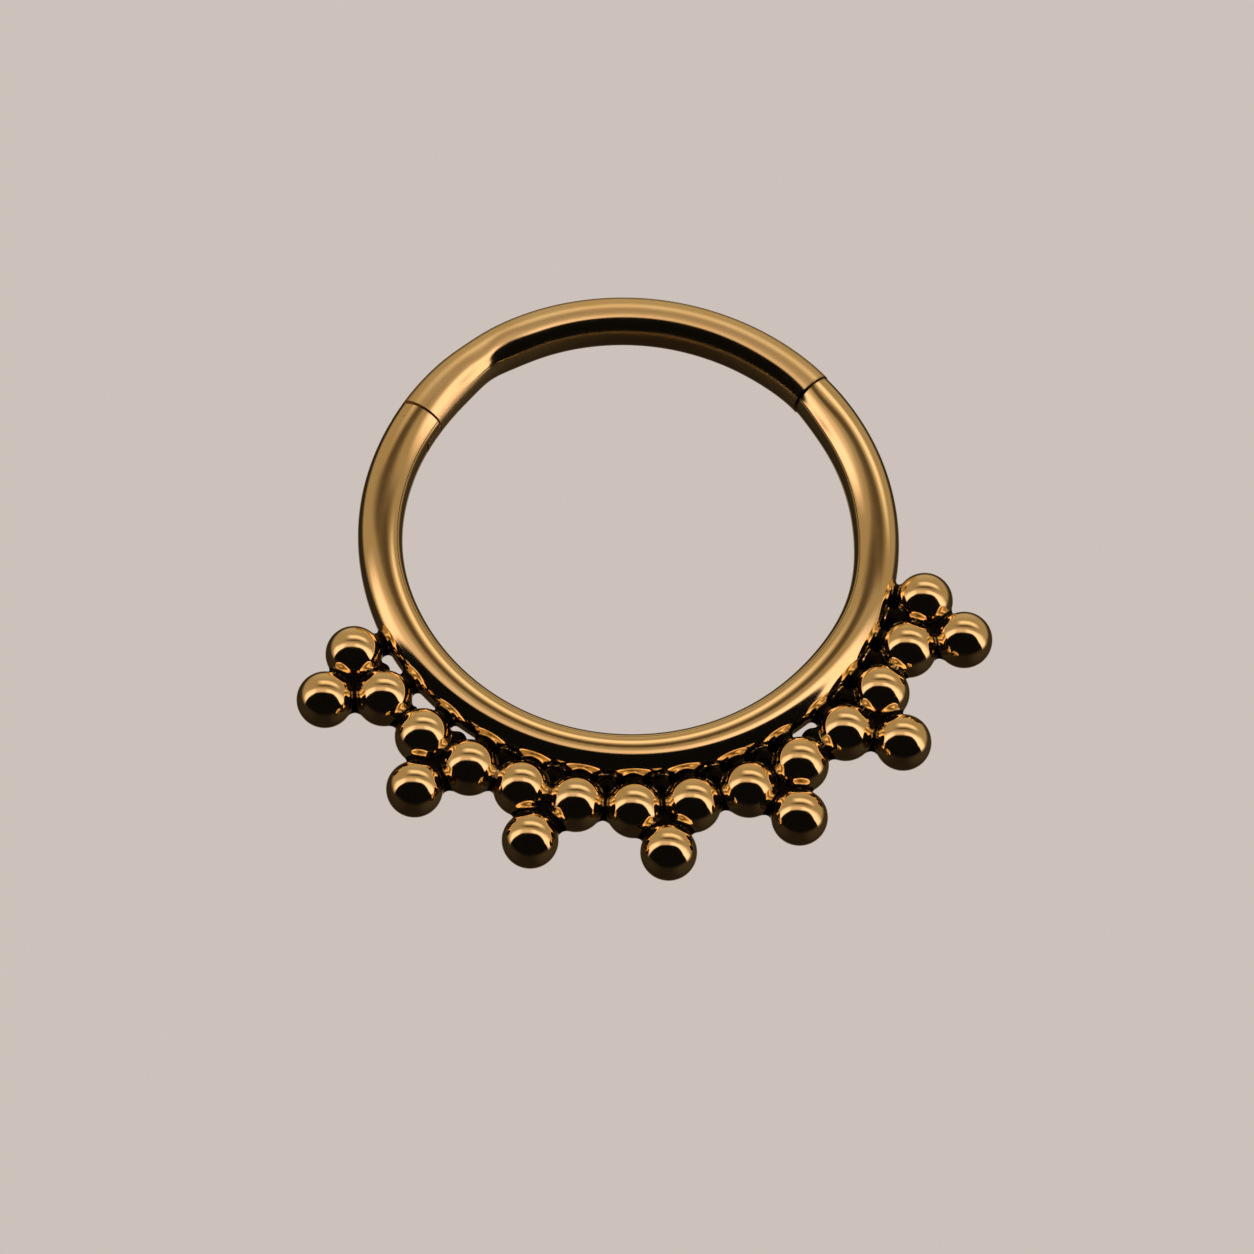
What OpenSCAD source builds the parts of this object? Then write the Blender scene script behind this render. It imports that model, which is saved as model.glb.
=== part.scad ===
// A hinged ring for a body piercing, lying flat: a round wire bent to a circle, whose far third swings
// open on a pin, and a two-row fan of small round beads soldered round the outside of the near half.
// The ring's axis is +Z, the wire's circle is centred on the origin, and the fan of beads faces -Y.
// All sizes are in mm.

/* [Wire] */
// Thickness of the round wire
wire_d = 1; // [0.8:0.1:1.2]
// Clear width inside the ring
inner_d = 9.5; // [9:0.25:11]

/* [Beads] */
// Size of each bead
bead_d = 1.2; // [1.16:0.02:1.22]
// Pairs of beads in the row next to the wire, each pair with one bead of the outer row in its notch
cluster_n = 7; // [3:1:7]
// Space left between a bead and the wire, filled by solder
bead_off_wire = 0.1; // [0.04:0.02:0.2]
// Space left between neighbouring beads of the inner row, filled by solder
bead_gap = 0.02; // [0.01:0.01:0.04]
// How far the outer row stands outside the inner one
row_step = 1.06; // [1.04:0.01:1.1]
// Turn round the ring by which the third bead of the outer row missed the middle of its pair
stray_turn = -1.1; // [-1.2:0.1:1.2]
// Thickness of the solder between a bead and the wire
wire_solder_d = 0.56; // [0.3:0.02:0.6]
// Thickness of the solder between two beads
bead_solder_d = 0.4; // [0.2:0.02:0.44]
// Height of the solder that fills the notches between the beads
notch_solder_h = 0.34; // [0.2:0.02:0.4]

/* [Segment] */
// Where the hinge cuts the wire, as an angle round the ring from +X
hinge_angle = 140.1; // [130:0.1:150]
// Where the segment's free end meets the body, from +X
closure_angle = 35.4; // [25:0.1:50]
// Slit between segment and body at the hinge
hinge_gap = 0.05; // [0.04:0.01:0.08]
// Widening of the hinge's slit towards the outside, for each mm from the wire's centre line
hinge_lean = 0.11; // [0:0.01:0.15]
// Slit between segment and body at the closure
closure_gap = 0.04; // [0.03:0.01:0.08]

/* [Hinge] */
// Thickness of the pin
pin_d = 0.24; // [0.2:0.02:0.28]
// How far the pin stands outside the wire's centre line
pin_out = 0.25; // [0.24:0.01:0.26]
// How far the pin stands beyond the slit, inside the body
pin_back = 0.275; // [0.27:0.005:0.28]
// Thickness of the tongue that hangs on the pin
tongue_t = 0.34; // [0.28:0.02:0.4]

/* [Closure] */
// Radius of the round nose on the segment's free end
nose_r = 0.2; // [0.15:0.01:0.22]

/* [Hidden] */
$fn = 64;
wire_r = wire_d / 2;
ring_r = inner_d / 2 + wire_r;
bead_r = bead_d / 2;
inner_row_r = ring_r + wire_r + bead_off_wire + bead_r;
outer_row_r = inner_row_r + row_step;
bead_step = 2 * asin((bead_d + bead_gap) / 2 / inner_row_r);
fan_middle = 270;
slot_t = tongue_t + 0.06;
lug_r = pin_back - hinge_gap / 2;
cheek_r = lug_r + 0.03;
turning_gap = 0.05;
tongue_bore_r = pin_d / 2 + 0.02;
cheek_bore_r = pin_d / 2 + 0.01;
socket_r = nose_r + 0.05;
relief_from = pin_out + 0.1;
relief_rise = 0.07;
notch_fill_r = 0.28;
notch_fill_out = 0.2;
notch_row_r = ring_r + wire_r + notch_fill_out;
nest_fill_r = 0.22;
open_notches = [0, 1, 9];
stray_bead = 2;
bead_bite = 0.75;
wire_bite = 0.6;
reach = 2;

// The whole circle of wire, and a stretch of it between two angles.
module wire_stretch(from, to) {
    rotate([0, 0, from])
        rotate_extrude(angle = to - from)
            translate([ring_r, 0])
                rotate(180)
                    circle(r = wire_r);
}

// Places at the slit of the hinge: +X away from the ring's axis, +Y into the body, along the wire.
module at_hinge() {
    rotate([0, 0, hinge_angle])
        translate([ring_r, 0, 0])
            children();
}

module at_pin() {
    at_hinge()
        translate([pin_out, pin_back, 0])
            children();
}

// The middle of the slit at the closure: +Y along the wire, into the segment.
module at_closure() {
    rotate([0, 0, closure_angle])
        translate([ring_r, 0, 0])
            children();
}

// A box given by its low and high corners.
module block(low, high) {
    translate(low)
        cube(high - low);
}

function inner_angle(k) = fan_middle + (k - (2 * cluster_n - 1) / 2) * bead_step;
function even_outer_angle(k) = fan_middle + (k - (cluster_n - 1) / 2) * 2 * bead_step;
function outer_angle(k) = even_outer_angle(k) + (k == stray_bead ? stray_turn : 0);
function on_circle(r, angle) = [r * cos(angle), r * sin(angle), 0];

// A short round bar of solder on the line between two middles a and b of the ring's plane. It starts
// and stops just under the two surfaces, at the given distances from a and from b.
module solder(a, b, from_a, from_b, thickness) {
    span = b - a;
    translate(a)
        rotate([0, 0, atan2(span[1], span[0])])
            rotate([0, 90, 0])
                translate([0, 0, from_a])
                    cylinder(h = norm(span) - from_a - from_b, d = thickness);
}

// Solder between two neighbouring beads.
module bead_solder(a, b) {
    solder(a, b, bead_bite * bead_r, bead_bite * bead_r, bead_solder_d);
}

// A bead of one of the rows, turned so that its surface begins away from the solder.
module bead(r, angle, turn) {
    translate(on_circle(r, angle))
        rotate([0, 0, angle + turn])
            sphere(r = bead_r);
}

// An upright plug of solder in a notch, centred on the ring's plane.
module notch_solder(place, radius) {
    translate(place)
        cylinder(h = notch_solder_h, r = radius, center = true);
}

// Solder in the notches between the wire and the pairs of neighbouring beads. A few notches, counted
// from the left end of the row, got none and stayed open.
module wire_notches() {
    for (k = [0 : 2 * cluster_n - 2]) {
        if (len(search(k, open_notches)) == 0) {
            notch_solder(on_circle(notch_row_r, inner_angle(k + 0.5)), notch_fill_r);
        }
    }
}

// The row against the wire: each bead is soldered to the wire and to the bead before it.
module inner_row() {
    for (k = [0 : 2 * cluster_n - 1]) {
        here = on_circle(inner_row_r, inner_angle(k));
        bead(inner_row_r, inner_angle(k), (k % 2 == 0) ? -35 : 35);
        solder(on_circle(ring_r, inner_angle(k)), here, wire_bite * wire_r, bead_bite * bead_r, wire_solder_d);
        if (k > 0) {
            bead_solder(on_circle(inner_row_r, inner_angle(k - 1)), here);
        }
    }
}

// The outer row: each bead sits in the notch of one pair and is soldered to both.
module outer_row() {
    for (k = [0 : cluster_n - 1]) {
        here = on_circle(outer_row_r, outer_angle(k));
        bead(outer_row_r, outer_angle(k), 0);
        bead_solder(on_circle(inner_row_r, inner_angle(2 * k)), here);
        bead_solder(on_circle(inner_row_r, inner_angle(2 * k + 1)), here);
        notch_solder((on_circle(inner_row_r, inner_angle(2 * k)) + on_circle(inner_row_r, inner_angle(2 * k + 1))
            + here) / 3, nest_fill_r);
    }
}

// What is cut from the body's hinge end: the outer half of the end, leaning away from the slit, the slot
// for the tongue, the bore for the pin, and the outer corner of both cheeks, rounded about the pin so
// that the segment can turn past it.
module fork_cuts() {
    edge = hinge_gap / 2;
    at_hinge()
        translate([0, 0, -reach / 2])
            linear_extrude(height = reach)
                polygon([[0, -reach], [reach, -reach], [reach, edge + hinge_lean * reach], [0, edge]]);
    at_hinge()
        block([-reach, -reach, -slot_t / 2], [reach, pin_back + lug_r + turning_gap, slot_t / 2]);
    at_pin()
        cylinder(h = reach, r = cheek_bore_r, center = true);
    at_pin()
        difference() {
            block([0, -reach, -reach / 2], [reach / 2, 0, reach / 2]);
            cylinder(h = 2 * reach, r = cheek_r, center = true);
        }
}

// The socket in the body's other end, where the segment's nose clicks in.
module closure_socket() {
    at_closure()
        translate([0, -closure_gap / 2, 0])
            sphere(r = socket_r);
}

module ring_body() {
    color("goldenrod")
        difference() {
            union() {
                at_body_wire();
                inner_row();
                outer_row();
                wire_notches();
            }
            fork_cuts();
            closure_socket();
        }
}

// The body's wire, from the hinge round the near side to the closure, cut square at both slits.
module at_body_wire() {
    half_hinge = asin(hinge_gap / 2 / ring_r);
    half_closure = asin(closure_gap / 2 / ring_r);
    wire_stretch(hinge_angle + half_hinge, 360 + closure_angle - half_closure);
}

// The room taken from the segment's hinge end: square to the wire as far out as the pin, then
// leaning towards the body to keep the slit narrow at the outside.
module shoulder_cut() {
    edge = -hinge_gap / 2;
    slope = relief_rise / (wire_r - relief_from);
    at_hinge()
        translate([0, 0, -reach / 2])
            linear_extrude(height = reach)
                polygon([
                    [-reach, edge],
                    [relief_from, edge],
                    [reach, edge + slope * (reach - relief_from)],
                    [reach, 3 * reach],
                    [-reach, 3 * reach]
                ]);
}

// The flat tongue at the segment's hinge end, kept inside the wire's roundness: round about the pin
// towards the outside, and square towards the inside, where it fills the slot of the body.
module tongue() {
    intersection() {
        wire_stretch(hinge_angle - 10, hinge_angle + 10);
        at_pin()
            union() {
                cylinder(h = tongue_t, r = lug_r, center = true);
                block([0, -2 * lug_r, -tongue_t / 2], [wire_r, 0, tongue_t / 2]);
                block([-reach, -2 * lug_r, -tongue_t / 2], [0, lug_r, tongue_t / 2]);
            }
    }
}

module hinged_segment() {
    half_closure = asin(closure_gap / 2 / ring_r);
    color("gold")
        difference() {
            union() {
                difference() {
                    wire_stretch(closure_angle + half_closure, hinge_angle + 3);
                    shoulder_cut();
                }
                tongue();
                at_closure()
                    translate([0, closure_gap / 2, 0])
                        sphere(r = nose_r);
            }
            at_pin()
                cylinder(h = reach, r = tongue_bore_r, center = true);
        }
}

// The pin, with both ends ground to the wire's roundness.
module hinge_pin() {
    color("darkgoldenrod")
        intersection() {
            wire_stretch(hinge_angle - 2, hinge_angle + 10);
            at_pin()
                cylinder(h = reach, d = pin_d, center = true);
        }
}

ring_body();
hinged_segment();
hinge_pin();
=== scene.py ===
import math

import bmesh
import bpy
import numpy as np
from mathutils import Matrix, Vector


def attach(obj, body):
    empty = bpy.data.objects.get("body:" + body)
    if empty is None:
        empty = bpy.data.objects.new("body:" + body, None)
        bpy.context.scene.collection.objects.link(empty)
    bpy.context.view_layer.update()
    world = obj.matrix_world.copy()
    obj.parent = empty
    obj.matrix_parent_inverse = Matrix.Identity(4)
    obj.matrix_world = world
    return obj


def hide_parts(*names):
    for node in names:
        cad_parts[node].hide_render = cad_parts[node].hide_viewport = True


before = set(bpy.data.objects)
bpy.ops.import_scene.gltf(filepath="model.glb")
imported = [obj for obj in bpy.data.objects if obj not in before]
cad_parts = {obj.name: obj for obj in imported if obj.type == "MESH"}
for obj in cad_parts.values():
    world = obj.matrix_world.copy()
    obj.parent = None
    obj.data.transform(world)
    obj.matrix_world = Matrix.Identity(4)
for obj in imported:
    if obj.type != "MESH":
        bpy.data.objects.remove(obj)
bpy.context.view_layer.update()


# Camera.
# A long lens looks down at the ring lying flat. The bead fan is turned a little to the camera's
# right, and the camera is rolled by a few degrees, as the photograph shows.

scene = bpy.context.scene
mm = 0.001
camera_turn = math.radians(-10.41)
camera_height = math.radians(61.79)
camera_roll = math.radians(3.93)
camera_away = 400 * mm
view_width = 26.542 * mm
sensor_width = 36
nearest_seen, farthest_seen = 0.01, 100
aim_right, aim_up = -0.0157 * mm, -1.8636 * mm

to_camera = Vector((
    math.sin(camera_turn) * math.cos(camera_height),
    -math.cos(camera_turn) * math.cos(camera_height),
    math.sin(camera_height),
))
level_right = Vector((0, 0, 1)).cross(to_camera).normalized()
level_up = to_camera.cross(level_right)
photo_right = level_right * math.cos(camera_roll) + level_up * math.sin(camera_roll)
photo_up = level_up * math.cos(camera_roll) - level_right * math.sin(camera_roll)

camera_data = bpy.data.cameras.new("camera")
camera_data.sensor_width = sensor_width
camera_data.lens = sensor_width * camera_away / view_width
camera_data.clip_start = nearest_seen
camera_data.clip_end = farthest_seen
camera = bpy.data.objects.new("camera", camera_data)
scene.collection.objects.link(camera)
camera.matrix_world = (
    Matrix.Translation(photo_right * aim_right + photo_up * aim_up + to_camera * camera_away)
    @ Matrix((photo_right, photo_up, to_camera)).transposed().to_4x4()
)
scene.camera = camera
scene.view_settings.view_transform = "Standard"


# Floor and backdrop.
# Plain pale board under the ring and a dome of the same board behind it. Both glow evenly, as a
# board lit from all sides does, and the polished metal sees the light tent and not the board.

board_colour = (0.604, 0.539, 0.497, 1)
resting_height = -0.6 * mm
table_radius = 0.4
dome_radius = 3
dome_rows = 20


def board_finish(name):
    finish = bpy.data.materials.new(name)
    finish.use_nodes = True
    nodes, links = finish.node_tree.nodes, finish.node_tree.links
    nodes.clear()
    glow = nodes.new("ShaderNodeEmission")
    glow.inputs["Color"].default_value = board_colour
    glow.inputs["Strength"].default_value = 1
    out = nodes.new("ShaderNodeOutputMaterial")
    links.new(glow.outputs["Emission"], out.inputs["Surface"])
    return finish


def stage_piece(name, outline, finish):
    """A surface turned from an outline of (radius, height) points."""
    facets = 96
    points = [
        (r * math.cos(a), r * math.sin(a), z)
        for r, z in outline
        for a in (2 * math.pi * k / facets for k in range(facets))
    ]
    faces = [
        (i * facets + k, i * facets + (k + 1) % facets,
         (i + 1) * facets + (k + 1) % facets, (i + 1) * facets + k)
        for i in range(len(outline) - 1)
        for k in range(facets)
    ]
    mesh = bpy.data.meshes.new(name)
    mesh.from_pydata(points, [], faces)
    mesh.materials.append(finish)
    piece = bpy.data.objects.new(name, mesh)
    scene.collection.objects.link(piece)
    piece.visible_glossy = False
    piece.visible_diffuse = False
    piece.visible_shadow = False


stage_piece("floor", [(r, resting_height) for r in (0, table_radius, dome_radius)],
            board_finish("pale_board"))
stage_piece("backdrop", [
    (dome_radius * math.cos(t), resting_height + dome_radius * math.sin(t))
    for t in (math.radians(90 / dome_rows * k) for k in range(dome_rows + 1))
], board_finish("pale_backdrop"))


# Light.
# A white tent all round with a dark, bright-rimmed opening towards the camera and a curved lamp in its
# roof, drawn as a mirror ball in the ring's place shows it: across and up run from -1 to 1 over it.

tent_light = (0.385, 0.29, 0.169)
tent_back_light = (0.5, 0.401, 0.249)
rim_light = (1.4, 1.04, 0.829)
lamp_light = (1.10, 0.885, 0.64)
lamp_shadow = (0.1, 0.0669, 0.038)
opening_dark = (0.0035, 0.0035, 0.0035)
front_table = (0.0165, 0.0116, 0.00794)
side_table = (0.046, 0.0354, 0.023)
board_seen = (0.26, 0.21, 0.15)

world = bpy.data.worlds.new("light_tent")
scene.world = world
world.use_nodes = True
tent, tent_links = world.node_tree.nodes, world.node_tree.links
tent.clear()


def feed(value, socket):
    if isinstance(value, bpy.types.NodeSocket):
        tent_links.new(value, socket)
    else:
        socket.default_value = value


def calc(operation, *values):
    node = tent.new("ShaderNodeMath")
    node.operation = operation
    for value, socket in zip(values, node.inputs):
        feed(value, socket)
    return node.outputs[0]


def along(direction, axis):
    node = tent.new("ShaderNodeVectorMath")
    node.operation = "DOT_PRODUCT"
    feed(direction, node.inputs[0])
    feed(tuple(axis), node.inputs[1])
    return node.outputs["Value"]


def soft_step(value, start, end):
    """0 where value is at start or before it, 1 at end or past it, smooth between them."""
    node = tent.new("ShaderNodeMapRange")
    node.interpolation_type = "SMOOTHSTEP"
    low, high, first, last = (start, end, 0, 1) if start < end else (end, start, 1, 0)
    for socket, number in zip(("From Min", "From Max", "To Min", "To Max"), (low, high, first, last)):
        node.inputs[socket].default_value = number
    feed(value, node.inputs["Value"])
    return node.outputs["Result"]


def blend_light(share, base, over):
    node = tent.new("ShaderNodeMix")
    node.data_type = "RGBA"
    feed(share, node.inputs["Factor"])
    for value, socket in ((base, node.inputs[6]), (over, node.inputs[7])):
        feed(value if isinstance(value, bpy.types.NodeSocket) else (*value, 1), socket)
    return node.outputs[2]


def edge_height(points):
    """How high an edge drawn through these points of the ball stands at each place across it. The
    curve itself runs from 0 to 1 both ways."""
    node = tent.new("ShaderNodeFloatCurve")
    curve = node.mapping.curves[0]
    for x, y in points:
        curve.points.new((x + 1) / 2, (y + 1) / 2)
    curve.points.remove(curve.points[0])
    curve.points.remove(curve.points[-1])
    node.mapping.update()
    feed(calc("MULTIPLY_ADD", across, 0.5, 0.5), node.inputs["Value"])
    return calc("MULTIPLY_ADD", node.outputs[0], 2, -1)


ray = tent.new("ShaderNodeTexCoord").outputs["Generated"]
tiny = 0.001
ball = calc("SQRT", calc("MAXIMUM", calc("MULTIPLY_ADD", along(ray, to_camera), 2, 2), tiny))
across = calc("DIVIDE", along(ray, photo_right), ball)
up = calc("DIVIDE", along(ray, photo_up), ball)

# the tent ends at the table's edge, which stands lower at the back than in front and on the left;
# the table itself is dark, a little paler at the sides
table_tilt, table_rise, left_drop = 0.14, 0.19, -0.08
table_edge = (-0.17, 0.15)
right_side, left_side, left_share = (0.15, 0.85), (-0.25, -0.85), 0.45
tent_back = (0.68, 0.9)
height_seen = along(ray, (0, 0, 1))
away_seen = along(ray, (-math.sin(camera_turn), math.cos(camera_turn), 0))
side_seen = along(ray, (math.cos(camera_turn), math.sin(camera_turn), 0))
above_table = calc("ADD", calc("MULTIPLY_ADD", away_seen, table_tilt, table_rise), height_seen)
left_seen = calc("MINIMUM", side_seen, 0)
left_bend = calc("MULTIPLY", calc("MULTIPLY", left_seen, left_seen), left_drop)
above_table = calc("ADD", above_table, left_bend)
in_tent = soft_step(above_table, *table_edge)
table = blend_light(soft_step(side_seen, *right_side), front_table, side_table)
table = blend_light(calc("MULTIPLY", soft_step(side_seen, *left_side), left_share), table, side_table)
cloth = blend_light(soft_step(up, *tent_back), tent_light, tent_back_light)

# the opening's edge, and the outer edge of its bright rim
opening_edge = edge_height([
    (-1, -1), (-0.80, -0.55), (-0.72, -0.25), (-0.67, -0.1), (-0.62, 0.0), (-0.53, 0.1), (-0.38, 0.2),
    (-0.3, 0.24), (-0.15, 0.26), (0.08, 0.25), (0.28, 0.2), (0.40, 0.1), (0.47, 0.0), (0.52, -0.1),
    (0.59, -0.2), (0.63, -0.3), (0.70, -0.55), (1, -1)])
rim_edge = edge_height([
    (-1, -0.5), (-0.85, -0.02), (-0.7, 0.24), (-0.6, 0.325), (-0.5, 0.37), (-0.4, 0.405), (-0.2, 0.44),
    (0, 0.43), (0.2, 0.38), (0.3, 0.345), (0.4, 0.315), (0.5, 0.28), (0.6, 0.235), (0.7, 0.15),
    (0.8, -0.03), (1, -0.55)])
rim_fade = (1.02, 0.52)
rim_foot, foot_bend = (-0.18, 0.04), 0.4
rim_left_end = (-0.78, -0.60)
faint_middle, faint_width, faint_least, faint_gain = 0.12, (0.1, 0.3), 0.37, 0.6
past_opening = calc("SUBTRACT", up, opening_edge)
in_rim = calc("DIVIDE", past_opening, calc("SUBTRACT", rim_edge, opening_edge))
rim_share = soft_step(in_rim, *rim_fade)
# it ends softly below the corners of the opening, lower on the right, and on the far left
bend = calc("MAXIMUM", across, 0)
rim_share = calc("MULTIPLY", rim_share, soft_step(calc("MULTIPLY_ADD", bend, foot_bend, up), *rim_foot))
rim_share = calc("MULTIPLY", rim_share, soft_step(across, *rim_left_end))
# the rim is fainter in the middle, where the opening's top is seen edge on
middle_faint = soft_step(calc("ABSOLUTE", calc("ADD", across, faint_middle)), *faint_width)
rim_share = calc("MULTIPLY", rim_share, calc("MULTIPLY_ADD", middle_faint, faint_gain, faint_least))
light = blend_light(rim_share, cloth, rim_light)

# the lamp behind the roof, bent down at its right end, and the fold of cloth that shades below it
lamp_height, lamp_bend = 0.618, 0.7
lamp_thickness, lamp_middle, lamp_length = (0.085, 0.015), 0.14, (0.44, 0.20)
fold_below = 0.125
fold_thickness, fold_middle, fold_length = (0.05, 0.012), 0.04, (0.48, 0.08)
past_lamp = calc("ADD", up, calc("MULTIPLY_ADD", calc("MULTIPLY", bend, bend), lamp_bend, -lamp_height))
lamp_share = calc("MULTIPLY", soft_step(calc("ABSOLUTE", past_lamp), *lamp_thickness),
                  soft_step(calc("ABSOLUTE", calc("SUBTRACT", across, lamp_middle)), *lamp_length))
light = blend_light(lamp_share, light, lamp_light)
fold = calc("ABSOLUTE", calc("ADD", past_lamp, fold_below))
fold_share = calc("MULTIPLY", soft_step(fold, *fold_thickness),
                  soft_step(calc("ABSOLUTE", calc("SUBTRACT", across, fold_middle)), *fold_length))
light = blend_light(fold_share, light, lamp_shadow)

opening_soft = (-0.02, 0.035)
light = blend_light(soft_step(past_opening, *opening_soft), opening_dark, light)
light = blend_light(in_tent, table, light)
# the metal's very edges mirror the lit board right behind the ring
right_behind = (-0.88, -0.995)
light = blend_light(soft_step(along(ray, to_camera), *right_behind), light, board_seen)

background = tent.new("ShaderNodeBackground")
feed(light, background.inputs["Color"])
world_out = tent.new("ShaderNodeOutputWorld")
tent_links.new(background.outputs["Background"], world_out.inputs["Surface"])


# Ring body.
# A nearly round wire bent to a circle, with fourteen beads against its outside and seven more in the
# notches of their pairs, all soldered into one polished piece of gold-coloured metal.

wire_ring = 5.25
wire_half = 0.492
inner_squareness = 2.35
outer_squareness = 2.22
bead_radius = 0.6
inner_row = 6.45
outer_row = 7.51
bead_step = math.radians(10.853)
fan_middle = math.radians(270)
skin_cell = 0.052

# each bead was set by hand, so it sits off the even spacing by a small turn round the ring, in
# degrees, and a small step outwards, in mm
row_turns = (-0.03, -0.05, -0.01, -0.05, -0.26, -0.43, -0.33, -0.16, 0, 0.16, 0.25, 0.25, 0.05, 0.09)
row_steps = (0, 0, 0, 0, -0.047, -0.013, 0.020, 0.017, 0.018, 0.013, 0.020, 0, 0, -0.021)
outer_turns = (0, -0.05, -1.08, -0.38, 0.07, 0.21, 0)
outer_steps = (0, 0.022, 0, 0, 0, 0, -0.040)


def bead_places(row, step, turns, outwards):
    places = []
    for k, (turn, outward) in enumerate(zip(turns, outwards)):
        a = fan_middle + (k - (len(turns) - 1) / 2) * step + math.radians(turn)
        places.append(Vector(((row + outward) * math.cos(a), (row + outward) * math.sin(a), 0)))
    return places


row_places = bead_places(inner_row, bead_step, row_turns, row_steps)
outer_places = bead_places(outer_row, 2 * bead_step, outer_turns, outer_steps)

# Solder: bars between touching beads and from bead to wire, and a drop in each notch, given by its
# distance from the ring's axis and its radius. Four notches got too little and stayed partly open.
bead_bar = 0.26
wire_bar = 0.26
nest_drop = 0.20
solder_flow = 0.10
sunk = Vector((0, 0, -0.08))
full_notch = (5.94, 0.28)
notch_drops = [full_notch] * (len(row_places) - 1)
for notch, drop in ((0, (6.08, 0.16)), (1, (6.14, 0.11)), (2, (6.05, 0.22)), (9, (6.13, 0.27))):
    notch_drops[notch] = drop
solder_bars = []
for k, here in enumerate(row_places):
    solder_bars.append((here * (wire_ring / inner_row) + sunk, here + sunk, wire_bar))
    if k:
        solder_bars.append((row_places[k - 1] + sunk, here + sunk, bead_bar))
        away, drop = notch_drops[k - 1]
        middle = (row_places[k - 1] + here).normalized() * away + sunk
        solder_bars.append((middle, middle, drop))
for k, here in enumerate(outer_places):
    pair = row_places[2 * k], row_places[2 * k + 1]
    solder_bars += [(pair[0] + sunk, here + sunk, bead_bar), (pair[1] + sunk, here + sunk, bead_bar)]
    middle = (pair[0] + pair[1] + here) / 3 + sunk
    solder_bars.append((middle, middle, nest_drop))


def run_together(a, b, flow):
    """The nearer of two surfaces, with solder run into the corner between them."""
    near = np.maximum(flow - np.abs(a - b), 0) / flow
    return np.minimum(a, b) - near * near * flow / 4


# bending by hand left the wire a little off the true circle near the joints, and polishing took more
# off it in some places. Each row gives a place round the ring and how far it reaches, in degrees, and
# how far the wire's middle stands out there, how much thicker each side is and how far the wire
# stands up, in mm.
body_strays = (
    (-24, 12, 0.045, -0.030, 0),
    (40, 6, 0.034, -0.040, 0),
    (39, 6.5, 0.034, 0, -0.078),
    (136, 8, -0.012, 0.012, 0),
    (152, 14, -0.034, 0.002, 0),
    (182, 12, 0, -0.024, 0),
)


def wire_depth(p, strays):
    """Below 0 inside the whole circle of wire, above 0 outside it, in mm."""
    middle, half, lift = wire_ring, wire_half, 0
    turn = np.degrees(np.arctan2(p[:, 1], p[:, 0]))
    for place, spread, outward, thicker, upward in strays:
        away = (turn - place + 180) % 360 - 180
        share = np.exp(-0.5 * (away / spread) ** 2)
        middle = middle + share * outward
        half = half + share * thicker
        lift = lift + share * upward
    out = (np.hypot(p[:, 0], p[:, 1]) - middle) * (wire_half / half)
    power = np.where(out < 0, inner_squareness, outer_squareness)
    return (np.abs(out) ** power + np.abs(p[:, 2] - lift) ** power) ** (1 / power) - wire_half


# farther from a bead or a bar of solder than this, points are not measured to it at all
bead_margin, bar_margin = 0.6, 0.5


def close_by(p, a, b, reach):
    """The points near the line from a to b."""
    low = np.minimum(a, b) - reach
    high = np.maximum(a, b) + reach
    return np.where((p[:, :2] > low[:2]).all(1) & (p[:, :2] < high[:2]).all(1))[0]


def bar_depth(p, a, b, radius):
    """The same as wire_depth for a round-ended bar from a to b."""
    span = b - a
    share = np.clip(((p - a) @ span) / max(span @ span, 1e-9), 0, 1)
    return np.linalg.norm(p - a - share[:, None] * span, axis=1) - radius


def bare_depth(p):
    """Wire and beads before soldering."""
    metal = wire_depth(p, body_strays)
    for place in row_places + outer_places:
        here = np.array(place)
        near = close_by(p, here, here, bead_radius + bead_margin)
        metal[near] = np.minimum(metal[near], bar_depth(p[near], here, here, bead_radius))
    return metal


def solder_depth(p):
    """The same for the solder alone."""
    far_off = 9.0
    solder = np.full(len(p), far_off)
    for a, b, radius in solder_bars:
        a, b = np.array(a), np.array(b)
        near = close_by(p, a, b, radius + bar_margin)
        solder[near] = run_together(solder[near], bar_depth(p[near], a, b, radius), solder_flow)
    return solder


def beaded_wire_depth(p):
    return run_together(bare_depth(p), solder_depth(p), solder_flow)


def slope(depth, p, step=1e-4):
    """The outward direction of the surface at each point."""
    parts = []
    for axis in range(3):
        shift = np.zeros(3)
        shift[axis] = step
        parts.append(depth(p + shift) - depth(p - shift))
    return np.stack(parts, 1) / (2 * step)


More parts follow.
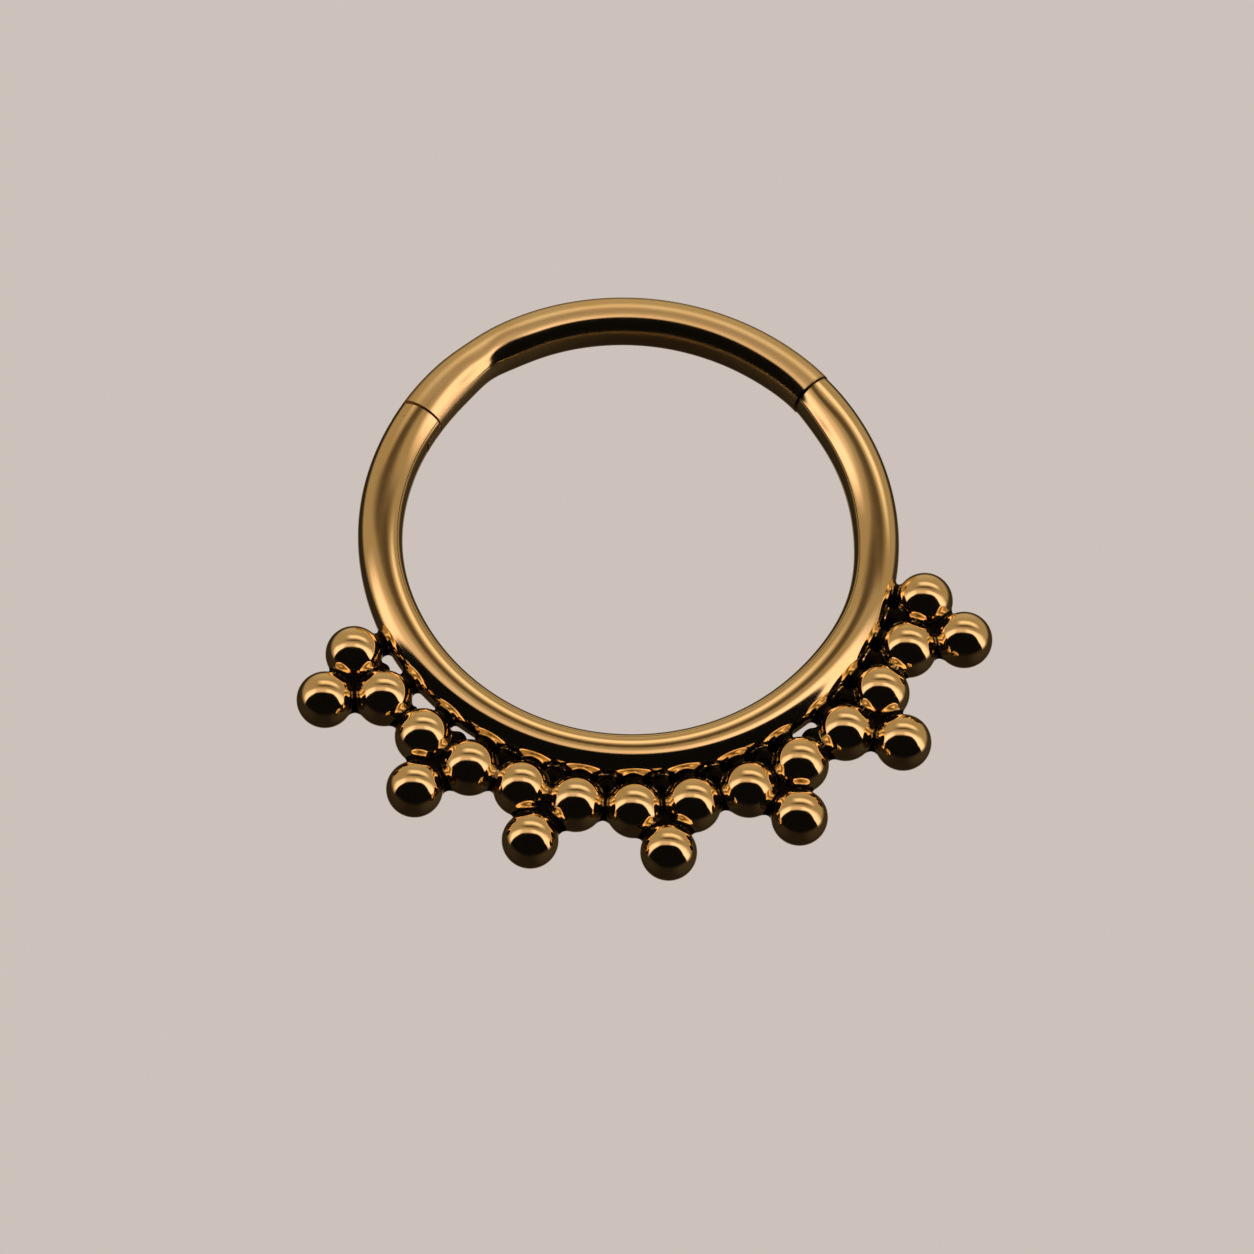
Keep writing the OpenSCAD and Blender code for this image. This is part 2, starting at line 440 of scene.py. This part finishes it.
def skin(depth, low, high, cell):
    """The surface where depth is 0, as points and four-sided faces of about the given size."""
    counts = [int(math.ceil((h - l) / cell)) + 1 for l, h in zip(low, high)]
    axes = [l + cell * np.arange(n) for l, n in zip(low, counts)]
    # whole blocks that lie clear of the surface are settled by their middles
    block = 3
    middles = [l + cell * (block * np.arange(-(-n // block)) + (block - 1) / 2)
               for l, n in zip(low, counts)]
    grid = np.stack(np.meshgrid(*middles, indexing="ij"), -1)
    value = depth(grid.reshape(-1, 3)).reshape(grid.shape[:3])
    for axis, n in enumerate(counts):
        value = np.take(value.repeat(block, axis), range(n), axis)
    close = np.where(np.abs(value) < block * cell)
    value[close] = depth(np.stack([axis[n] for axis, n in zip(axes, close)], 1))
    inside = value < 0
    corners = [(i, j, k) for i in (0, 1) for j in (0, 1) for k in (0, 1)]

    def part(array, corner):
        return array[tuple(slice(c, n - 1 + c) for c, n in zip(corner, counts))]

    filled = sum(part(inside, c).astype(int) for c in corners)
    cells = np.argwhere((filled > 0) & (filled < 8))
    number = np.full([n - 1 for n in counts], -1)
    number[tuple(cells.T)] = np.arange(len(cells))
    total, hits = np.zeros((len(cells), 3)), np.zeros(len(cells))
    for a in corners:
        for axis in range(3):
            if a[axis]:
                continue
            b = tuple(c + (n == axis) for n, c in enumerate(a))
            va = value[tuple((cells + a).T)]
            vb = value[tuple((cells + b).T)]
            crossed = (va < 0) != (vb < 0)
            share = np.where(crossed, va / np.where(crossed, va - vb, 1), 0)
            at = np.array(a, float)[None] + share[:, None] * (np.arange(3) == axis)
            total += at * crossed[:, None]
            hits += crossed
    points = np.array(low) + cell * (cells + total / hits[:, None])
    settling_rounds = 4
    for _ in range(settling_rounds):
        g = slope(depth, points)
        points -= g * (depth(points) / (g * g).sum(1))[:, None]
    faces = []
    for axis in range(3):
        one, two = [n for n in range(3) if n != axis]
        first = np.moveaxis(inside, axis, 0)
        change = first[1:] != first[:-1]
        change = np.moveaxis(change, 0, axis)
        edges = np.argwhere(change)
        edges = edges[(edges[:, one] > 0) & (edges[:, two] > 0)]
        neighbours = []
        for d1, d2 in ((1, 1), (0, 1), (0, 0), (1, 0)):
            c = edges.copy()
            c[:, one] -= d1
            c[:, two] -= d2
            neighbours.append(number[tuple(c.T)])
        quad = np.stack(neighbours, 1)
        starts_inside = inside[tuple(edges.T)]
        keep = starts_inside if axis != 1 else ~starts_inside
        faces.append(np.where(keep[:, None], quad, quad[:, ::-1]))
    return points, np.concatenate(faces)


def bare_piece(name, points, faces):
    mesh = bpy.data.meshes.new(name)
    mesh.from_pydata([tuple(p) for p in points], [], [tuple(int(i) for i in f) for f in faces])
    mesh.update()
    piece = bpy.data.objects.new(name, mesh)
    scene.collection.objects.link(piece)
    return piece


def cut_shape(outline, low, high):
    """A straight block with the given outline in x and y, from height low to height high."""
    n = len(outline)
    points = [(x, y, low) for x, y in outline] + [(x, y, high) for x, y in outline]
    faces = [tuple(reversed(range(n))), tuple(range(n, 2 * n))]
    faces += [(k, (k + 1) % n, n + (k + 1) % n, n + k) for k in range(n)]
    return bare_piece("shape", points, faces)


def box_outline(low, high):
    return [low, (high[0], low[1]), high, (low[0], high[1])]


def arc_outline(radius, start, end, steps=24):
    turns = [math.radians(start + (end - start) * k / steps) for k in range(steps + 1)]
    return [(radius * math.cos(t), radius * math.sin(t)) for t in turns]


def round_outline(radius):
    return arc_outline(radius, 0, 360, steps=96)[:-1]


def ball_shape(radius):
    ball_mesh = bmesh.new()
    bmesh.ops.create_icosphere(ball_mesh, subdivisions=5, radius=radius)
    mesh = bpy.data.meshes.new("shape")
    ball_mesh.to_mesh(mesh)
    ball_mesh.free()
    piece = bpy.data.objects.new("shape", mesh)
    scene.collection.objects.link(piece)
    return piece


def join_or_cut(piece, other, how):
    """Joins other to piece, cuts it away or keeps what both hold, and clears other away."""
    change = piece.modifiers.new(how, "BOOLEAN")
    change.operation = how
    change.object = other
    change.solver = "MANIFOLD"
    bpy.context.view_layer.update()
    done = bpy.data.meshes.new_from_object(piece.evaluated_get(bpy.context.evaluated_depsgraph_get()))
    piece.modifiers.clear()
    old = piece.data
    piece.data = done
    bpy.data.meshes.remove(old)
    bpy.data.objects.remove(other)


def polish(piece, depths):
    """Gives the curved surfaces their true directions, so that they mirror cleanly, and leaves the
    filed faces flat. Then the piece goes from millimetres to metres."""
    on_surface, alike = 2e-3, 0.9
    mesh = piece.data
    points = np.empty(len(mesh.vertices) * 3)
    mesh.vertices.foreach_get("co", points)
    points = points.reshape(-1, 3)
    corner = np.empty(len(mesh.loops), int)
    mesh.loops.foreach_get("vertex_index", corner)
    flat = np.empty(len(mesh.polygons) * 3)
    mesh.polygons.foreach_get("normal", flat)
    sides = np.empty(len(mesh.polygons), int)
    mesh.polygons.foreach_get("loop_total", sides)
    first = np.concatenate([[0], np.cumsum(sides)[:-1]])
    own = np.repeat(flat.reshape(-1, 3), sides, axis=0)
    directions = own.copy()
    for depth in reversed(depths):
        near = np.where(np.abs(depth(points)) < on_surface)[0]
        if not len(near):
            continue
        true = np.zeros((len(points), 3))
        g = slope(depth, points[near])
        true[near] = g / np.linalg.norm(g, axis=1)[:, None]
        facing = (own * true[corner]).sum(1)
        agree = np.abs(facing) > alike
        whole = np.repeat(np.minimum.reduceat(agree.astype(int), first).astype(bool), sides)
        facing = np.sign(facing)[:, None]
        directions[whole] = (true[corner] * facing)[whole]
    mesh.materials.clear()
    mesh.transform(Matrix.Scale(mm, 4))
    mesh.polygons.foreach_set("use_smooth", np.ones(len(mesh.polygons), bool))
    mesh.normals_split_custom_set([tuple(d) for d in directions])
    mesh.update()


# the two slits, the pin and the catch, where the solids have them; the slit at the closure is a
# hair narrower than theirs
hinge_angle = math.radians(140.1)
closure_angle = math.radians(35.4)
hinge_gap = 0.05
closure_gap = 0.024
pin_radius = 0.12
pin_out = 0.25
pin_back = 0.275
tongue_half = 0.17
slot_half = 0.20
lug_radius = 0.25
cheek_radius = 0.28
cheek_bore = 0.122
hinge_lean = 0.11
socket_radius = 0.25
turning_gap = 0.05
# how far the cutting shapes reach past the wire
past, far_past, farthest = 2, 6, 20
at_hinge = Matrix.Rotation(hinge_angle, 4, "Z") @ Matrix.Translation((wire_ring, 0, 0))
at_pin = at_hinge @ Matrix.Translation((pin_out, pin_back, 0))
at_closure = Matrix.Rotation(closure_angle, 4, "Z") @ Matrix.Translation((wire_ring, 0, 0))


def ball_depth(place, radius):
    """Below 0 inside a ball about that place, above 0 outside it."""
    middle = np.array(place.to_translation())
    return lambda p: np.linalg.norm(p - middle, axis=1) - radius


def round_depth(place, radius):
    """The same for an upright cylinder."""
    middle = np.array(place.to_translation())[:2]
    return lambda p: np.linalg.norm(p[:, :2] - middle, axis=1) - radius


def placed(piece, place):
    piece.data.transform(place)
    return piece


gold_tone = (0.95, 0.74, 0.42)
mottled_tone = (gold_tone[0], gold_tone[1] * 0.94, gold_tone[2] * 0.86)
tone_grain, shine_grain, mark_grain = (900, 3), (2500, 4), (14000, 5)
grain_middle = (0.3, 0.7)
mark_depth = 0.002 * mm
body_marks, body_shine = 0.05, (0.05, 0.09)
# painted shade: a near-black colour laid on the solder in the recesses and along the slits
painted_shade_tone = (0.007, 0.005, 0.003)
solder_roughness = 0.35
solder_reach = 0.055
solder_fade = 0.03
satin_roughness = 0.30
satin_outside = (5.10 * mm, 5.22 * mm)
satin_inside = (4.84 * mm, 4.93 * mm)
slit_shade = 0.35
slit_soft = (0.02 * mm, 0.05 * mm)


def gold(name, marks, shine, soldered=False, satin=False):
    """Mirror-polished gold-coloured metal. Marks is how strongly the fine scratches of the polishing
    show, and shine is the roughness at its best and poorest polished places. On a piece with solder,
    the solder in the recesses gets painted shade, a near-black colour, and a satin piece is only bright
    along its top."""
    finish = bpy.data.materials.new(name)
    finish.use_nodes = True
    nodes, links = finish.node_tree.nodes, finish.node_tree.links
    shader = nodes["Principled BSDF"]
    shader.inputs["Metallic"].default_value = 1
    place = nodes.new("ShaderNodeTexCoord").outputs["Object"]

    def grain(scale, detail):
        noise = nodes.new("ShaderNodeTexNoise")
        noise.inputs["Scale"].default_value = scale
        noise.inputs["Detail"].default_value = detail
        links.new(place, noise.inputs["Vector"])
        return noise.outputs["Fac"]

    def fade(value, start, end, low, high, way="SMOOTHSTEP"):
        node = nodes.new("ShaderNodeMapRange")
        node.interpolation_type = way
        for socket, amount in zip(("From Min", "From Max", "To Min", "To Max"), (start, end, low, high)):
            node.inputs[socket].default_value = amount
        links.new(value, node.inputs["Value"])
        return node.outputs["Result"]

    def spread(value, low, high):
        return fade(value, *grain_middle, low, high, "LINEAR")

    tint = nodes.new("ShaderNodeMix")
    tint.data_type = "RGBA"
    tint.inputs[6].default_value = (*gold_tone, 1)
    tint.inputs[7].default_value = (*mottled_tone, 1)
    links.new(spread(grain(*tone_grain), 0, 1), tint.inputs["Factor"])
    colour, roughness = tint.outputs[2], spread(grain(*shine_grain), *shine)

    def towards(share, base, over):
        node = nodes.new("ShaderNodeMix")
        flat = isinstance(over, float)
        node.data_type = "FLOAT" if flat else "RGBA"
        first, second = (node.inputs["A"], node.inputs["B"]) if flat else (node.inputs[6], node.inputs[7])
        second.default_value = over if flat else (*over, 1)
        links.new(share, node.inputs["Factor"])
        links.new(base, first)
        return node.outputs[0 if flat else 2]

    def measure(operation, value, against):
        node = nodes.new("ShaderNodeVectorMath")
        node.operation = operation
        links.new(value, node.inputs[0])
        node.inputs[1].default_value = against
        return node.outputs["Value" if operation == "DOT_PRODUCT" else "Vector"]

    def number(operation, *values):
        node = nodes.new("ShaderNodeMath")
        node.operation = operation
        for value, socket in zip(values, node.inputs):
            if isinstance(value, bpy.types.NodeSocket):
                links.new(value, socket)
            else:
                socket.default_value = value
        return node.outputs[0]

    # painted shade: the solder in the recesses gets a near-black colour and a rougher finish
    if soldered:
        solder = nodes.new("ShaderNodeAttribute")
        solder.attribute_name = "solder_painted_shade_share"
        share = fade(solder.outputs["Fac"], 0, 1, 0, 1)
        colour, roughness = towards(share, colour, painted_shade_tone), towards(share, roughness, solder_roughness)
    if satin:
        # from the top of the wire outwards, and from the middle of its inner side down
        flat_place = measure("MULTIPLY", place, (1, 1, 0))
        from_axis = nodes.new("ShaderNodeVectorMath")
        from_axis.operation = "LENGTH"
        links.new(flat_place, from_axis.inputs[0])
        outer_share = fade(from_axis.outputs["Value"], *satin_outside, 0, 1)
        inner_share = fade(from_axis.outputs["Value"], *satin_inside, 1, 0)
        roughness = towards(number("ADD", outer_share, inner_share), roughness, satin_roughness)
    # painted shade: a soft dark line painted along the two slits, where polishing rounded their edges over
    for angle in (hinge_angle, closure_angle):
        sideways = measure("DOT_PRODUCT", place, (-math.sin(angle), math.cos(angle), 0))
        outwards = measure("DOT_PRODUCT", place, (math.cos(angle), math.sin(angle), 0))
        share = fade(number("ABSOLUTE", sideways), *slit_soft, slit_shade, 0)
        share = number("MULTIPLY", share, number("GREATER_THAN", outwards, 0.0))
        colour = towards(share, colour, painted_shade_tone)
    links.new(colour, shader.inputs["Base Color"])
    links.new(roughness, shader.inputs["Roughness"])
    bump = nodes.new("ShaderNodeBump")
    bump.inputs["Strength"].default_value = marks
    bump.inputs["Distance"].default_value = mark_depth
    links.new(grain(*mark_grain), bump.inputs["Height"])
    links.new(bump.outputs["Normal"], shader.inputs["Normal"])
    return finish


body_low, body_high = (-8.3, -8.4, -0.75), (8.3, 6.0, 0.75)
points, faces = skin(beaded_wire_depth, body_low, body_high, skin_cell)
ring_body = bare_piece("beaded_ring_body", points, faces)

# the far third of the wire goes, from slit to slit
far_third = [at_closure @ Vector((x, -closure_gap / 2, 0)) for x in (-past, 2 * past)]
far_third += [Vector((0, farthest, 0))]
far_third += [at_hinge @ Vector((x, hinge_gap / 2, 0)) for x in (2 * past, -past)]
join_or_cut(ring_body, cut_shape([(p.x, p.y) for p in far_third], -past, past), "DIFFERENCE")
# the outer half of the hinge end leans away from the slit
leaning = [(0, -past), (past, -past), (past, hinge_gap / 2 + past * hinge_lean), (0, hinge_gap / 2)]
join_or_cut(ring_body, placed(cut_shape(leaning, -past, past), at_hinge), "DIFFERENCE")
# the slot of the fork, the pin's bore, and the cheeks' outer corners rounded about the pin
slot = box_outline((-past, -past), (past, pin_back + lug_radius + turning_gap))
join_or_cut(ring_body, placed(cut_shape(slot, -slot_half, slot_half), at_hinge), "DIFFERENCE")
corner_cut = [(0, -past), (past, -past), (past, 0)] + arc_outline(cheek_radius, 0, -90)
join_or_cut(ring_body, placed(cut_shape(corner_cut, -past, past), at_pin), "DIFFERENCE")
join_or_cut(ring_body, placed(cut_shape(round_outline(cheek_bore), -past, past), at_pin), "DIFFERENCE")
# the socket for the nose
at_socket = at_closure @ Matrix.Translation((0, -closure_gap / 2, 0))
join_or_cut(ring_body, placed(ball_shape(socket_radius), at_socket), "DIFFERENCE")
# each corner's share of the painted shade, by how near it lies to the solder
corners = np.empty(len(ring_body.data.vertices) * 3)
ring_body.data.vertices.foreach_get("co", corners)
past_solder = solder_depth(corners.reshape(-1, 3))
solder_painted_shade_share = ring_body.data.attributes.new("solder_painted_shade_share", "FLOAT", "POINT")
solder_painted_shade_share.data.foreach_set("value", np.clip((solder_reach - past_solder) / solder_fade, -1, 2))
body_rounds = [ball_depth(at_socket, socket_radius), round_depth(at_pin, cheek_radius)]
polish(ring_body, [beaded_wire_depth] + body_rounds)
ring_body.data.materials.append(gold("polished_gold_body", body_marks, body_shine, soldered=True))
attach(ring_body, "ring")
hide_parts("ring_body")


# Hinged segment.
# The plain far third of the wire, which goes through the piercing. It is the same wire, filed to a
# flat tongue at the hinge and left with a small round nose that clicks into the body at the closure.

relief_from = 0.35
relief_lean = 0.07 / 0.15
nose_radius = 0.2
tongue_bore = 0.14
far_side = 1.8
segment_marks, segment_shine = 0.0, (0.08, 0.12)

# the segment's own strays from the true circle, given as the body's are
segment_strays = (
    (38, 6, 0.026, -0.010, 0),
    (50, 8, 0.012, 0, 0),
    (75, 20, 0.018, 0, 0),
    (108, 14, 0.024, -0.004, 0),
    (115.5, 3.6, 0.028, 0, -0.052),
    (119.5, 4, 0.018, -0.040, 0),
    (136, 8, -0.012, 0.012, 0),
    (152, 14, -0.034, 0.002, 0),
)


def segment_depth(p):
    return wire_depth(p, segment_strays)


def far_wire(name):
    """The wire's whole far side, from which the segment and the pin are cut."""
    low, high = (-6.0, far_side - 0.2, -0.6), (6.0, 6.0, 0.6)
    points, faces = skin(lambda p: np.maximum(segment_depth(p), far_side - p[:, 1]), low, high, skin_cell)
    return bare_piece(name, points, faces)


segment = far_wire("plain_hinged_segment")
# the wire ends at the closure's slit, and its other end is rounded about the pin
behind = box_outline((-past, -far_past), (past, closure_gap / 2))
join_or_cut(segment, placed(cut_shape(behind, -past, past), at_closure), "DIFFERENCE")
past_tongue = arc_outline(lug_radius, 90, 0)
past_tongue += [(past, 0), (past, far_past), (-past, far_past), (-past, lug_radius)]
join_or_cut(segment, placed(cut_shape(past_tongue, -past, past), at_pin), "DIFFERENCE")
# above and below the tongue the wire stops at the hinge's slit
edge = -hinge_gap / 2
shoulder = [(-past, edge), (relief_from, edge), (past, edge + relief_lean * (past - relief_from))]
shoulder += [(past, far_past), (-past, far_past)]
for low, high in ((tongue_half, past), (-past, -tongue_half)):
    join_or_cut(segment, placed(cut_shape(shoulder, low, high), at_hinge), "DIFFERENCE")
join_or_cut(segment, placed(cut_shape(round_outline(tongue_bore), -past, past), at_pin), "DIFFERENCE")
at_nose = at_closure @ Matrix.Translation((0, closure_gap / 2, 0))
join_or_cut(segment, placed(ball_shape(nose_radius), at_nose), "UNION")
polish(segment, [segment_depth, ball_depth(at_nose, nose_radius), round_depth(at_pin, lug_radius)])
segment.data.materials.append(gold("polished_gold_segment", segment_marks, segment_shine, satin=True))
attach(segment, "segment")
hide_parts("hinged_segment")


# Hinge pin.
# A short gold-coloured pin through both cheeks and the tongue, its ends ground and polished away to
# the wire's own roundness, so that it hardly shows.

pin_marks, pin_shine = 0.10, (0.045, 0.10)
pin = far_wire("ground_hinge_pin")
join_or_cut(pin, placed(cut_shape(round_outline(pin_radius), -past, past), at_pin), "INTERSECT")
polish(pin, [segment_depth, round_depth(at_pin, pin_radius)])
pin.data.materials.append(gold("polished_gold_pin", pin_marks, pin_shine))
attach(pin, "ring")
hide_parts("hinge_pin")
